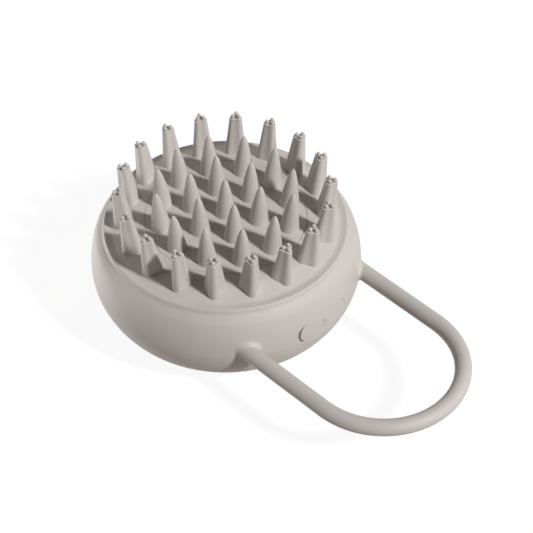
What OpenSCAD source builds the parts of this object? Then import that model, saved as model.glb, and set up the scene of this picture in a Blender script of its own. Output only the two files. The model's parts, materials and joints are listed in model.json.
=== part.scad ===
// Electric scalp massager: a round hand-held body that carries a domed face of soft
// prongs, a hanging loop on its side, a charging port under a flap beside the loop, and
// a power button on the palm side. Millimetres. +Z points up through the prongs, +X runs
// along the hanging loop, and the origin is the centre of the face it rests on.

/* [Body] */
// Largest diameter of the body
body_d = 90; // [84:1:96]
// Height of the widest point above the resting face
waist_z = 21; // [20:0.5:22]
// Height of the seam between the body and the prong face
seam_z = 35.6; // [35.2:0.1:36]
// Thickness of the silicone sleeve
sleeve_t = 1.6; // [1.4:0.1:1.8]
// Thickness of the rigid housing inside the sleeve
housing_t = 2.2; // [1.8:0.1:2.4]
// Diameter of the face it rests on
rest_d = 64; // [58:1:64]

/* [Prong face] */
// Height of the top of the domed face
dome_z = 41.15; // [40.8:0.05:41.5]
// Radius of the dome
dome_r = 310; // [280:10:500]
// Radius at which the face starts to roll off toward its rim
shoulder_start = 30; // [29.5:0.5:31]
// Radius of that roll-off
shoulder_bend = 12; // [11.5:0.5:14]
// Width of that roll-off, from which the face falls straight
shoulder_width = 3.2; // [2.8:0.1:3.4]
// Thickness of the silicone pads
pad_t = 2.4; // [2:0.1:2.6]
// Diameter of the centre pad
centre_pad_d = 53.2; // [50:0.2:56]
// Diameter over the crest of the rim
crest_d = 79.8; // [79.4:0.2:80.2]
// Length of the outer prongs along their own axis
comb_len = 15.3; // [13:0.1:18]
// Length of the inner prongs along their own axis
bullet_len = 15; // [13:0.1:18]
// How far below the face the prongs' axes would meet
prong_fan = 250; // [240:10:400]
// Radius at which the outer prongs stand
outer_ring_r = 32.7; // [32:0.05:33.2]
// Number of outer prongs
outer_count = 18; // [12:1:18]
// Radii of the inner rings of prongs
inner_ring_r = [0, 11.25, 21.6];
// Number of prongs in each inner ring
inner_ring_count = [1, 6, 12];

/* [Hanging loop] */
// Diameter of the loop's bar
loop_bar_d = 5.5; // [5:0.1:6]
// Distance from the centre plane to each leg's axis
loop_half_w = 26.1; // [25.5:0.1:26.5]
// Distance from the body's axis to the centre of the round end
loop_reach = 70.5; // [60:0.5:90]
// Height of the loop's axis
loop_z = 22.7; // [22:0.1:23.4]

/* [Charging port] */
// Length of the flap
flap_l = 20.7; // [19:0.1:21]
// Height of the flap
flap_h = 7.6; // [7.2:0.1:8]
// Height of the port's axis
port_z = 22.4; // [22:0.1:22.8]
// Width of the finger notch beside the flap
notch_w = 1.2; // [0.8:0.1:1.4]

/* [Power button] */
// Diameter of the button
button_d = 22; // [18:1:22]
// Travel of the button
button_travel = 0.5; // [0.3:0.1:0.5]
// How far the button's face lies above the surface that the part rests on
button_recess = 0.9; // [0.7:0.1:1]

/* [Hidden] */
$fn = 96;
gap = 0.1;                         // clearance between pieces of one body
body_r = body_d / 2;
seam_r = body_r - 3.7;
upper_power = 2.3;                 // how square the body's curve is above and below its waist
lower_power = 1.835;
tuck_r = body_r - 18.6;            // where the lower curve of the body would meet the table
sleeve_low_z = 8.3;
crest_r = crest_d / 2;
crest_z = seam_z + 1.55;
floor_r = crest_r - 2.4;           // where the dome ends and the rim begins
face_steps = concat([for (r = [5:5:shoulder_start - 1]) r], [for (r = [shoulder_start + 0.6:1.3:floor_r]) r]);
centre_r = centre_pad_d / 2;
flange_r = seam_r - 0.3;
housing_top_z = seam_z - 1.6;
flange_low_z = seam_z - 0.9;
skirt_r = body_r - 5.8;            // outside of the pad's skirt
plate_r = skirt_r - 1.9;           // outside of the rigid plate behind the pads
plate_t = 2.2;
ledge_z = 31.4;                    // top of the ledge that carries the plate
ledge_t = 1.6;
ledge_r = 31.2;
o_ring_r = 35.8;
o_ring_d = 1.6;
column_r = 33;                     // screw columns of the housing
column_d = 5.6;
column_angles = [60, 120, 240, 300];
chassis_z = 12.6;
chassis_t = 1.8;
chassis_r = 34.5;
chassis_top = chassis_z + chassis_t;
post_r = 25;                       // posts that the base screws go into
post_angles = [45, 135, 225, 315];
board_z = 9;
board_t = 1.6;
board_r = 33;
board_top = board_z + board_t;
base_top_z = 8.2;
base_flange_z = 10.4;
base_flange_r = 36.4;
base_wall = 2;
base_low_z = 1.2;
shoulder_z = 11.3;                 // underside of the housing's shoulder over the gasket
motor_r = 10.2;
motor_low_z = chassis_top - 0.5;
motor_cap_h = 1.6;
motor_top_z = motor_low_z + 14;
motor_cup_z = 23.8;                // top of the cup that the motor sits in
clamp_y = 14.2;
clamp_t = 1.8;
shaft_r = 1;
shaft_clear = 0.05;
cell_r = 7.1;
cell_l = 43;
cell_x = -24.5;
cell_z = chassis_top + 0.6 + cell_r;
lead_r = 0.6;
socket_w = 8.94;
socket_h = 3.26;
socket_l = 7.4;
socket_mouth_x = body_r - sleeve_t - 0.6;
port_y = 0.6;                      // the recess is symmetric about this line
port_board_t = 1;
port_board_z = port_z - socket_h / 2 - port_board_t;
port_post_x = 30;                  // posts that carry the port's board
port_post_y = 6;
plug_half = 3.6;                   // half width of the flap's plug
plug_h = 1.7;
plug_l = 1.75;
anchor_r = 1;                      // rod that holds the flap in the housing
anchor_in = 2.6;                   // how far it sits from the flap's hinge end
flap_t = sleeve_t - 0.1;
flap_end_y = port_y + (flap_l + notch_w) / 2 - 0.1;   // hinge end of the flap
flap_start_y = flap_end_y - flap_l;
switch_z = 5.9;
plunger_z = 5;
plunger_h = 2;
prong_corner = 2;                  // offset of the outer prongs' corners at the base
prong_corner_r = 1.85;
prong_tip_corner = 1.1;
prong_tip_corner_r = 1.1;
ball_r = 0.66;
ball_offset = 1.16;
prong_root = 1.6;                  // how far the outer prongs reach down where the face rolls off
ball_rise = 1.2;                   // how far the balls stand above their prong
bullet_r = 3.3;
bullet_root = 0.5;                  // how far the inner prongs reach down before they are cut to the face
bullet_power = 0.53;                // how full the inner prongs' sides are

silicone = [0.78, 0.75, 0.73];
abs_grey = [0.62, 0.6, 0.58];
steel = [0.75, 0.76, 0.78];
brass = [0.8, 0.66, 0.36];
board_green = [0.12, 0.36, 0.22];
black = [0.12, 0.12, 0.13];
red = [0.7, 0.12, 0.1];

// Radius of the body's outside at a height, above and below the waist
function upper_r(z) =
    seam_r + (body_r - seam_r) * (1 - pow((z - waist_z) / (seam_z - waist_z), upper_power));
function lower_r(z) = tuck_r
    + (body_r - tuck_r) * pow(1 - pow((waist_z - z) / waist_z, lower_power), 1 / lower_power);
function outline_r(z) = z > waist_z ? upper_r(z) : lower_r(z);
// Points of the body's outside from one height to another, moved in by a distance
function outline(z0, z1, inward, steps) =
    [for (i = [0:steps]) let (z = z0 + (z1 - z0) * i / steps) [outline_r(z) - inward, z]];
// Height of the domed face at a radius
function dome(r) = dome_z - dome_r + sqrt(dome_r * dome_r - r * r) - roll_off(max(0, r - shoulder_start));
function roll_off(d) = shoulder_bend - arc_height(min(d, shoulder_width))
    + max(0, d - shoulder_width) * shoulder_width / arc_height(shoulder_width);
function arc_height(d) = sqrt(shoulder_bend * shoulder_bend - d * d);
// Points down the domed face, moved down by a distance: few on the flat part, more where it rolls off
function dome_line(r0, r1, drop) = concat([[r0, dome(r0) - drop]],
    [for (r = r0 < r1 ? face_steps : reversed(face_steps)) if ((r - r0) * (r - r1) < 0) [r, dome(r) - drop]],
    [[r1, dome(r1) - drop]]);
function reversed(list) = [for (i = [len(list) - 1:-1:0]) list[i]];

module revolve(points) { rotate_extrude($fn = 96) polygon(points); }
module tube(r_out, r_in, z0, z1) {
    translate([0, 0, z0]) difference() {
        cylinder(r = r_out, h = z1 - z0);
        translate([0, 0, -1]) cylinder(r = r_in, h = z1 - z0 + 2);
    }
}
module rod(r, z0, z1) { translate([0, 0, z0]) cylinder(r = r, h = z1 - z0, $fn = 48); }
module rod_x(r, x0, x1, y, z) {
    translate([x0, y, z]) rotate([0, 90, 0]) cylinder(r = r, h = x1 - x0, $fn = 48);
}
module block(x0, x1, y0, y1, z0, z1) { translate([x0, y0, z0]) cube([x1 - x0, y1 - y0, z1 - z0]); }
module at_angles(angles, r) {
    for (a = angles) rotate([0, 0, a]) translate([r, 0, 0]) rotate([0, 0, -a]) children();
}
// A slot with round ends along Y, extruded along X
module slot_x(x0, x1, y0, y1, z, h) {
    rod_x(h / 2, x0, x1, y0 + h / 2, z);
    rod_x(h / 2, x0, x1, y1 - h / 2, z);
    block(x0, x1, y0 + h / 2, y1 - h / 2, z - h / 2, z + h / 2);
}
// Stands a child on the domed face, leaning outward
module on_dome(r, a) {
    rotate([0, 0, a]) translate([r, 0, dome(r)]) rotate([0, asin(r / prong_fan), 0]) children();
}
module at_port_posts() {
    for (s = [-1, 1]) translate([port_post_x, s * port_post_y, 0]) children();
}
module pan_screw(r_head, h_head, r_shank, l) {
    cylinder(r = r_head, h = h_head, $fn = 32);
    translate([0, 0, h_head]) cylinder(r = r_shank, h = l, $fn = 32);
}

// A rod along Y on the battery's axis, to the same distance on both sides
module cell_rod(r, half) {
    translate([cell_x, -half, cell_z]) rotate([-90, 0, 0]) cylinder(r = r, h = 2 * half, $fn = 64);
}

module loop_bores(extra) {
    for (s = [-1, 1]) rod_x(loop_bar_d / 2 + extra, 22, 60, s * loop_half_w, loop_z);
}

// Low collars of the body where the loop's legs leave it
module loop_shoulder(r, rise) {
    intersection() {
        for (s = [-1, 1]) rod_x(r, 30, 42, s * loop_half_w, loop_z);
        revolve(concat(outline(16, 29.5, -rise, 6), outline(29.5, 16, sleeve_t / 2, 6)));
    }
}

module outer_sleeve() {
    recess_half = (flap_l + notch_w) / 2 + 0.05;
    color(silicone) difference() {
        union() {
            revolve(concat(
                [[base_flange_r + 0.9, 7.7], [lower_r(sleeve_low_z) - 1, 7.7]],
                outline(sleeve_low_z, seam_z, 0, 24),
                [[flange_r + gap, seam_z], [flange_r + gap, flange_low_z],
                 [skirt_r + gap, flange_low_z], [skirt_r + gap, housing_top_z + 0.05]],
                outline(housing_top_z + 0.05, sleeve_low_z, sleeve_t, 22),
                [[base_flange_r + 0.9, sleeve_low_z]]));
            loop_shoulder(loop_bar_d / 2 + 1.2, 0.35);
            loop_shoulder(loop_bar_d / 2 + 0.55, 0.9);
        }
        loop_bores(0.02);
        slot_x(38, 50, port_y - recess_half, port_y + recess_half, port_z, flap_h + 0.3);
    }
}

module inner_housing() {
    inward = sleeve_t + gap / 2;
    color(abs_grey) difference() {
        union() {
            revolve(concat(
                outline(sleeve_low_z + 0.1, housing_top_z, inward, 22),
                [[skirt_r + gap, housing_top_z], [skirt_r + gap, ledge_z],
                 [ledge_r, ledge_z], [ledge_r, ledge_z - ledge_t]],
                outline(ledge_z - ledge_t, shoulder_z + 1.2, inward + housing_t, 18),
                [[34.9, shoulder_z + 1.2], [34.9, shoulder_z],
                 [outline_r(shoulder_z) - inward - housing_t, shoulder_z],
                 [outline_r(sleeve_low_z + 0.1) - inward - housing_t, sleeve_low_z + 0.1]]));
            // Screw columns, each joined to the wall by a rib
            intersection() {
                for (a = column_angles) rotate([0, 0, a]) {
                    translate([column_r, 0, chassis_top + gap])
                        cylinder(r = column_d / 2, h = ledge_z - chassis_top - gap, $fn = 48);
                    block(column_r, 41.2, -1, 1, chassis_top + gap, ledge_z - 0.5);
                }
                revolve(concat([[0, 13]], outline(13, ledge_z, inward + housing_t / 2, 12),
                    [[0, ledge_z]]));
            }
        }
        at_angles(column_angles, column_r) {
            rod(1.15, chassis_top - 1, chassis_top + 6);
            rod(1.15, ledge_z - 6, ledge_z + 1);
        }
        loop_bores(0.02);
        slot_x(34, 50, -socket_w / 2 - 0.15, socket_w / 2 + 0.15, port_z, socket_h + 0.3);
        rod_x(anchor_r + 0.05, 34, 50, flap_end_y - anchor_in, port_z);
    }
}

module face_plate() {
    top = pad_t + gap / 2;
    color(abs_grey) difference() {
        revolve(concat(
            dome_line(0, plate_r, top),
            [[plate_r, ledge_z + 0.05], [ledge_r + 0.4, ledge_z + 0.05]],
            dome_line(ledge_r - 1, 0, top + plate_t)));
        tube(o_ring_r + o_ring_d / 2 + gap, o_ring_r - o_ring_d / 2 - gap,
            ledge_z - 1, ledge_z + o_ring_d + 0.05);
        at_angles(column_angles, column_r) {
            rod(1.35, ledge_z - 1, ledge_z + 7);
            rod(2.3, ledge_z + 1.9, ledge_z + 7);
        }
    }
}

module plate_screws() {
    color(steel) at_angles(column_angles, column_r)
        translate([0, 0, ledge_z + 3.1]) mirror([0, 0, 1]) pan_screw(2.1, 1.15, 1.1, 7);
}

module face_seal() {
    color(black) rotate_extrude($fn = 96)
        translate([o_ring_r, ledge_z + o_ring_d / 2]) circle(r = o_ring_d / 2, $fn = 24);
}

module outer_pad() {
    rim = [[floor_r + 0.7, crest_z - 0.04], [crest_r - 0.8, crest_z - 0.05], [crest_r - 0.25, crest_z],
        [crest_r + 0.25, crest_z - 0.08], [crest_r + 0.55, crest_z - 0.5], [crest_r + 0.75, crest_z - 1.1],
        [flange_r, seam_z]];
    color(silicone) revolve(concat(
        dome_line(centre_r + 0.08, floor_r, 0), rim,
        [[flange_r, flange_low_z + 0.05], [skirt_r, flange_low_z + 0.05], [skirt_r, ledge_z + 0.1],
         [plate_r + gap, ledge_z + 0.1], [plate_r + gap, dome(plate_r) - pad_t]],
        dome_line(plate_r, centre_r + 0.08, pad_t)));
}

// A prong with three rounded corners, one pointing outward, and a small ball on each corner
module comb_prong() {
    shaft_h = comb_len - ball_rise;
    hull() for (a = [0, 120, 240]) rotate([0, 0, a]) {
        translate([prong_corner, 0, -prong_root]) cylinder(r = prong_corner_r, h = prong_root, $fn = 24);
        translate([prong_tip_corner, 0, shaft_h - 0.1]) cylinder(r = prong_tip_corner_r, h = 0.1, $fn = 24);
    }
    for (a = [0, 120, 240]) rotate([0, 0, a])
        translate([ball_offset, 0, comb_len - ball_r]) sphere(r = ball_r, $fn = 8);
}

module outer_prongs() {
    pitch = 360 / outer_count;
    inner = centre_r + 0.08;
    color(silicone) difference() {
        for (i = [0:outer_count - 1]) on_dome(outer_ring_r, pitch * (i + 0.5)) comb_prong();
        revolve(concat(dome_line(inner, floor_r, 0), [[floor_r, seam_z - 2], [inner, seam_z - 2]]));
    }
}

module centre_pad() {
    color(silicone) revolve(concat(dome_line(0, centre_r, 0), dome_line(centre_r, 0, pad_t)));
}

// A prong with a round section and a rounded point
module bullet_prong() {
    side = [for (i = [0:12]) let (t = pow(i / 12, 2))
        [bullet_r * pow(t, bullet_power), bullet_len * (1 - t)]];
    rotate_extrude($fn = 36) polygon(concat(side, [[bullet_r, -bullet_root], [0, -bullet_root]]));
}

module inner_prongs() {
    color(silicone) difference() {
        for (k = [0:len(inner_ring_r) - 1]) {
            pitch = 360 / inner_ring_count[k];
            for (i = [0:inner_ring_count[k] - 1])
                on_dome(inner_ring_r[k], pitch * (i + (k == 1 ? 0.5 : 0))) bullet_prong();
        }
        revolve(concat(dome_line(0, centre_r, 0), [[centre_r, seam_z], [0, seam_z]]));
    }
}

module hanging_loop() {
    r = loop_bar_d / 2;
    color(silicone) {
        for (s = [-1, 1]) {
            rod_x(r, 24.4, loop_reach, s * loop_half_w, loop_z);
            rod_x(r + 0.8, 24.4, 25.9, s * loop_half_w, loop_z);
        }
        translate([loop_reach, 0, loop_z]) rotate([0, 0, -90]) rotate_extrude(angle = 180, $fn = 96)
            translate([loop_half_w, 0]) circle(r = r, $fn = 48);
    }
}

module loop_retainers() {
    color(abs_grey) for (s = [-1, 1]) difference() {
        rod_x(loop_bar_d / 2 + 1.35, 26, 27.4, s * loop_half_w, loop_z);
        rod_x(loop_bar_d / 2 + 0.02, 25, 29, s * loop_half_w, loop_z);
    }
}

module charging_flap() {
    plug_x = body_r - flap_t - 0.1;
    color(silicone) union() {
        difference() {
            intersection() {
                revolve(concat(outline(16, 29, 0, 12), outline(29, 16, flap_t, 12)));
                slot_x(38, 50, flap_start_y, flap_end_y, port_z, flap_h);
            }
            // A generic charging mark: two slanted strokes
            translate([body_r, port_y + 0.2, port_z + 1.5]) rotate([-22, 0, 0])
                cube([0.5, 0.35, 1.7], center = true);
            translate([body_r, port_y + 0.6, port_z - 0.4]) rotate([-22, 0, 0])
                cube([0.5, 0.35, 2.6], center = true);
        }
        slot_x(plug_x - plug_l, plug_x + 0.3, -plug_half, plug_half, port_z, plug_h);
    }
}

module flap_anchor() {
    y = flap_end_y - anchor_in;
    color(silicone) {
        rod_x(anchor_r, 38.6, 42.1, y, port_z);
        rod_x(anchor_r + 0.6, 38.4, 39.7, y, port_z);
    }
}

module usb_socket_shell() {
    back = socket_mouth_x - socket_l;
    color(steel) difference() {
        slot_x(back, socket_mouth_x, -socket_w / 2, socket_w / 2, port_z, socket_h);
        slot_x(back + 0.4, socket_mouth_x + 1, -socket_w / 2 + 0.3, socket_w / 2 - 0.3,
            port_z, socket_h - 0.6);
    }
}

module usb_socket_tongue() {
    back = socket_mouth_x - socket_l + 0.4;
    color(black) {
        block(back, socket_mouth_x - 1.9, -3.35, 3.35, port_z - 0.35, port_z + 0.35);
        slot_x(back, back + 1.2, -4.1, 4.1, port_z, socket_h - 0.7);
    }
}

module port_board() {
    color(board_green) difference() {
        block(27, 40, -8, 8, port_board_z, port_board_z + port_board_t);
        at_port_posts() rod(1.05, port_board_z - 1, port_board_z + 2);
    }
}

module port_screws() {
    color(steel) at_port_posts() translate([0, 0, port_board_z + port_board_t + 1])
        mirror([0, 0, 1]) pan_screw(1.7, 1, 0.9, 4.5);
}

module port_leads() {
    color(black) for (y = [-3, -1, 1, 3]) translate([28.4, y, 0]) rod(0.45, board_top, port_board_z);
}

module chassis() {
    color(abs_grey) difference() {
        union() {
            rod(chassis_r, chassis_z, chassis_top);
            rod(motor_r + 2, chassis_z, motor_cup_z);
            // Ears for the motor clamp's screws
            for (s = [-1, 1]) translate([0, s * clamp_y, 0]) rod(2.8, chassis_z, motor_cup_z);
            // Posts for the base screws and for the port's board
            at_angles(post_angles, post_r) rod(3, 3.6, chassis_z + 1);
            at_port_posts() rod(2, chassis_z, port_board_z - 0.02);
            // Cradle of the battery
            for (s = [-1, 1])
                block(cell_x - 6.5, cell_x + 6.5, s * 14 - 2, s * 14 + 2, chassis_z, chassis_top + 4);
        }
        rod(motor_r + 0.05, motor_low_z, 40);
        rod(7, chassis_z - 1, 30);
        cell_rod(cell_r + 0.05, 40);
        for (s = [-1, 1]) {
            translate([0, s * clamp_y, 0]) rod(1, 16, 30);
            translate([cell_x + 5, s * (cell_l / 2 + lead_r + 0.05), 0])
                rod(1.2, chassis_z - 1, chassis_top + 1);
        }
        at_port_posts() rod(0.95, port_board_z - 4.2, 30);
        at_angles(post_angles, post_r) rod(1.15, 0, 10.5);
        at_angles(column_angles, column_r) rod(1.35, chassis_z - 1, chassis_top + 1);
        block(27.4, 29.4, -4, 4, chassis_z - 1, chassis_top + 1);
    }
}

module chassis_screws() {
    color(steel) at_angles(column_angles, column_r)
        translate([0, 0, chassis_z - 1.2]) pan_screw(1.8, 1.18, 1.1, 6.5);
}

module motor_can() {
    color(steel) difference() {
        union() {
            rod(motor_r, motor_low_z + motor_cap_h, motor_top_z);
            rod(3.4, motor_top_z, motor_top_z + 1);
        }
        rod(motor_r - 0.6, motor_low_z, motor_top_z - 0.8);
        rod(2.2, motor_low_z, motor_top_z + 2);
    }
}

module motor_end_cap() {
    color(black) difference() {
        union() {
            rod(motor_r, motor_low_z, motor_low_z + motor_cap_h - 0.02);
            rod(motor_r - 0.7, motor_low_z, motor_low_z + motor_cap_h + 0.8);
        }
        rod(shaft_r + shaft_clear, motor_low_z + 0.6, motor_low_z + 5);
    }
}

module motor_magnets() {
    color([0.3, 0.3, 0.32]) intersection() {
        tube(motor_r - 0.65, motor_r - 2.8, motor_low_z + 3.2, motor_top_z - 1.2);
        for (s = [-1, 1]) block(-6.5, 6.5, s > 0 ? 2 : -12, s > 0 ? 12 : -2, 0, 40);
    }
}

module motor_bush() {
    color(brass) tube(2.18, shaft_r + shaft_clear, motor_top_z - 0.8, motor_top_z + 1);
}

module motor_armature() {
    color([0.72, 0.42, 0.25]) tube(motor_r - 3.4, shaft_r, motor_low_z + 3.6, motor_top_z - 1.8);
}

module motor_shaft() { color(steel) rod(shaft_r, motor_low_z + 0.7, motor_top_z + 5.4); }

module eccentric_weight() {
    low = motor_top_z + 1.4;
    color(steel) difference() {
        union() {
            rod(2.6, low, low + 3.6);
            intersection() {
                rod(8.6, low, low + 3.6);
                block(0, 9, -9, 9, low, low + 3.6);
            }
        }
        rod(shaft_r, low - 1, low + 5);
    }
}

module motor_clamp() {
    low = motor_cup_z + 0.05;
    color(abs_grey) difference() {
        union() {
            rod(motor_r + 1.9, low, low + clamp_t);
            for (s = [-1, 1]) translate([0, s * clamp_y, 0]) rod(2.8, low, low + clamp_t);
        }
        rod(motor_r + 0.05, low - 1, low + 3);
        for (s = [-1, 1]) translate([0, s * clamp_y, 0]) rod(1.2, low - 1, low + 3);
    }
}

module motor_screws() {
    color(steel) for (s = [-1, 1]) translate([0, s * clamp_y, motor_cup_z + clamp_t + 1.25])
        mirror([0, 0, 1]) pan_screw(1.9, 1.18, 0.95, 6.5);
}

module motor_leads() {
    color(red) for (s = [-1, 1]) translate([s * 4, 0, 0]) rod(lead_r, board_top, motor_low_z);
}

module battery_cell() {
    color([0.25, 0.4, 0.55]) cell_rod(cell_r, cell_l / 2);
}

module battery_strap() {
    half = 4.5;
    color(black) difference() {
        cell_rod(cell_r + 0.8, half);
        cell_rod(cell_r + 0.05, half + 1);
        block(cell_x - 12, cell_x + 12, -half - 1, half + 1, 0, cell_z - 4);
    }
    color(black) for (x = [-7.65, 6.85])
        block(cell_x + x, cell_x + x + 0.8, -half, half, chassis_top + 0.02, cell_z - 4);
}

module battery_leads() {
    y = cell_l / 2 + lead_r + 0.02;
    color(red) for (s = [-1, 1]) {
        rod_x(lead_r, cell_x, cell_x + 5, s * y, cell_z);
        translate([cell_x + 5, s * y, 0]) rod(lead_r, board_top, cell_z);
        translate([cell_x + 5, s * y, cell_z]) sphere(r = lead_r, $fn = 32);
    }
}

module main_board() {
    color(board_green) difference() {
        rod(board_r, board_z, board_top);
        at_angles(post_angles, post_r) rod(3.2, board_z - 1, board_top + 1);
    }
}

module board_chips() {
    color(black) {
        block(8, 15, -4, 3, board_top, board_top + 1);
        block(-14, -9, -3, 3, board_top, board_top + 1.2);
        block(-3, 3, 12, 16, board_top, board_top + 0.9);
    }
}

module tact_switch() {
    color(black) difference() {
        block(-3, 3, -3, 3, switch_z, board_z);
        rod(1.7, switch_z - 1, switch_z + 1.9);
    }
}

module switch_plunger() { color([0.85, 0.85, 0.82]) rod(1.6, plunger_z, plunger_z + plunger_h); }

module status_led() { color([0.9, 0.95, 0.9]) block(-0.8, 0.8, 19, 21, board_z - 0.7, board_z); }

module light_pipe() {
    color([0.93, 0.93, 0.93]) translate([0, 20, 0]) {
        rod(1.45, 0.7, board_z - 0.9);
        rod(2.2, base_low_z + base_wall, base_low_z + base_wall + 0.8);
    }
}

module base_gasket() {
    color(black) tube(base_flange_r - 0.1, 35, base_flange_z + 0.02, shoulder_z - 0.05);
}

module base_cover() {
    color(abs_grey) difference() {
        revolve([[0, base_low_z], [33.2, base_low_z], [34.6, 2.2], [35.7, 3.9], [36.5, 6],
            [36.85, base_top_z], [base_flange_r, base_top_z], [base_flange_r, base_flange_z],
            [34.6, base_flange_z], [34.6, 6.2], [33.6, 4.2], [32.4, base_low_z + base_wall],
            [0, base_low_z + base_wall]]);
        rod(button_d / 2 + 0.3, 0, 6);
        at_angles(post_angles, post_r) {
            rod(1.35, 0, 6);
            rod(2.4, 0, base_low_z + 1.3);
        }
        translate([0, 20, 0]) rod(1.55, 0, 6);
    }
}

module base_screws() {
    color(steel) at_angles(post_angles, post_r)
        translate([0, 0, base_low_z + 0.08]) pan_screw(2.2, 1.2, 1.1, 7);
}

module base_pad() {
    color(silicone) difference() {
        revolve([[0, 0], [rest_d / 2, 0], [rest_d / 2 + 1.1, 0.35],
            [rest_d / 2 + 1.5, base_low_z - 0.02], [0, base_low_z - 0.02]]);
        rod(button_d / 2 + 1.2, -1, 3);
        translate([0, 20, 0]) rod(1.8, -1, 3);
    }
}

module button_seal() {
    low = base_low_z + base_wall;
    color(silicone) tube(button_d / 2 + 4, button_d / 2 + 1.8, low + 0.02, low + 1);
}

module power_button() {
    low = base_low_z + base_wall + 0.08;
    color(silicone) {
        revolve([[0, button_recess], [button_d / 2 - 0.9, button_recess],
            [button_d / 2, button_recess + 0.7], [button_d / 2, low],
            [button_d / 2 + 1.4, low], [button_d / 2 + 1.4, low + 0.7], [1.5, low + 0.7],
            [1.5, plunger_z - 0.1], [0, plunger_z - 0.1]]);
    }
}

outer_sleeve();
inner_housing();
face_plate();
plate_screws();
face_seal();
outer_pad();
outer_prongs();
centre_pad();
inner_prongs();
hanging_loop();
loop_retainers();
charging_flap();
flap_anchor();
usb_socket_shell();
usb_socket_tongue();
port_board();
port_screws();
port_leads();
chassis();
chassis_screws();
motor_can();
motor_end_cap();
motor_magnets();
motor_bush();
motor_armature();
motor_shaft();
eccentric_weight();
motor_clamp();
motor_screws();
motor_leads();
battery_cell();
battery_strap();
battery_leads();
main_board();
board_chips();
tact_switch();
switch_plunger();
status_led();
light_pipe();
base_gasket();
base_cover();
base_screws();
base_pad();
button_seal();
power_button();
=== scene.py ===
import json
import math

import bmesh
import bpy
import numpy as np
from mathutils import Matrix, Vector


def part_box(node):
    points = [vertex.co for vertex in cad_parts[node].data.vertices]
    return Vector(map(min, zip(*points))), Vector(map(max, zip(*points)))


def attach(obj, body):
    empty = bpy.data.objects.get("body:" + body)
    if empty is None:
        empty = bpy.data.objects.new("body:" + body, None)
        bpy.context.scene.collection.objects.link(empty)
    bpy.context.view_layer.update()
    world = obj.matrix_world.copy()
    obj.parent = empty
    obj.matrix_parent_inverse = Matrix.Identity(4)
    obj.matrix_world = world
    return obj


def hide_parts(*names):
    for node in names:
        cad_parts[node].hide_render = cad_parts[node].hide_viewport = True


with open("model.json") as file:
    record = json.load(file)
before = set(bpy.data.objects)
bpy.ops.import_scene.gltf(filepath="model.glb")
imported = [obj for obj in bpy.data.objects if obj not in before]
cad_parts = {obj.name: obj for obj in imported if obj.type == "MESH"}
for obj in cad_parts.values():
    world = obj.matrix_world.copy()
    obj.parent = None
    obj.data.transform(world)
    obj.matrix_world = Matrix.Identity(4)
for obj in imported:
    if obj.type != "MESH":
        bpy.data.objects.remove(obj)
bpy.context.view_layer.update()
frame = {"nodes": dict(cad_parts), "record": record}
cadNodes = frame["nodes"]
scene = bpy.context.scene
mm = 0.001  # the meshes below are worked out in millimetres


# ---- camera and light

cameraSettings = {
    "place": (359.5, -338.8, 514.5),
    "heading": 135.14,  # degrees from +X
    "pitch": -45.25,
    "roll": 0.075,
    "lens": 141.0,
    "sensor": 36.0,
    "clip": (0.01, 50),
}


def makeCamera():
    heading = math.radians(cameraSettings["heading"])
    pitch = math.radians(cameraSettings["pitch"])
    roll = math.radians(cameraSettings["roll"])
    level = math.cos(pitch)
    forward = Vector((level * math.cos(heading), level * math.sin(heading), math.sin(pitch)))
    right = Vector((math.sin(heading), -math.cos(heading), 0))
    up = right.cross(forward)
    right, up = right * math.cos(roll) + up * math.sin(roll), up * math.cos(roll) - right * math.sin(roll)
    data = bpy.data.cameras.new("camera")
    data.lens = cameraSettings["lens"]
    data.sensor_width = cameraSettings["sensor"]
    data.clip_start, data.clip_end = cameraSettings["clip"]
    camera = bpy.data.objects.new("camera", data)
    turn = Matrix((right, up, -forward)).transposed().to_4x4()
    camera.matrix_world = Matrix.Translation(Vector(cameraSettings["place"]) * mm) @ turn
    scene.collection.objects.link(camera)
    scene.camera = camera


lightSettings = {
    "keyAzimuth": 9,
    "keyElevation": 42,
    "keyStrength": 3.26,
    "keySoftness": 7,
    "keyColor": (0.96, 0.99, 1.0),
    "fillDistance": 0.7,
    "fillAim": 0.03,  # height of the point that the fills look at
    "fills": [  # azimuth, elevation, size, power and color of each soft lamp
        (178, 8, 0.5, 1.4, (0.96, 0.99, 1.0)),
        (222, 14, 0.45, 1.15, (0.97, 0.99, 1.0)),
        (330, 10, 0.4, 0.15, (0.98, 0.99, 1.0)),
        (46, 9, 0.35, 0.5, (0.9, 0.97, 1.0)),
        (105, 35, 0.35, 0.6, (1.0, 0.84, 0.72)),
    ],
    "card": (228, 0.13, 0.115, 0.118),  # azimuth, distance, size and power of the bounce card on the floor
    "cardHeight": 0.001,
    "ambient": 0.022,
    "ambientColor": (1.0, 0.82, 0.7),
    "floorBounce": (0.45, 0.37, 0.33),  # how pale the floor is to light that bounces off it
    "floorGlow": 1.065,
    "floorShadow": 0.14,  # how much of the shadow the camera sees
    "floorPaper": 0.95,
    "floorSize": 6,
}


def towards(azimuth, elevation):
    a, e = math.radians(azimuth), math.radians(elevation)
    return Vector((math.cos(a) * math.cos(e), math.sin(a) * math.cos(e), math.sin(e)))


def addLamp(name, kind, power, color, place, facing):
    # a lamp that shines back along the direction it faces
    data = bpy.data.lights.new(name, kind)
    data.energy = power
    data.color = color
    lamp = bpy.data.objects.new(name, data)
    lamp.location = place
    lamp.rotation_mode = "QUATERNION"
    lamp.rotation_quaternion = facing.to_track_quat("Z", "Y")
    scene.collection.objects.link(lamp)
    return lamp


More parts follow.
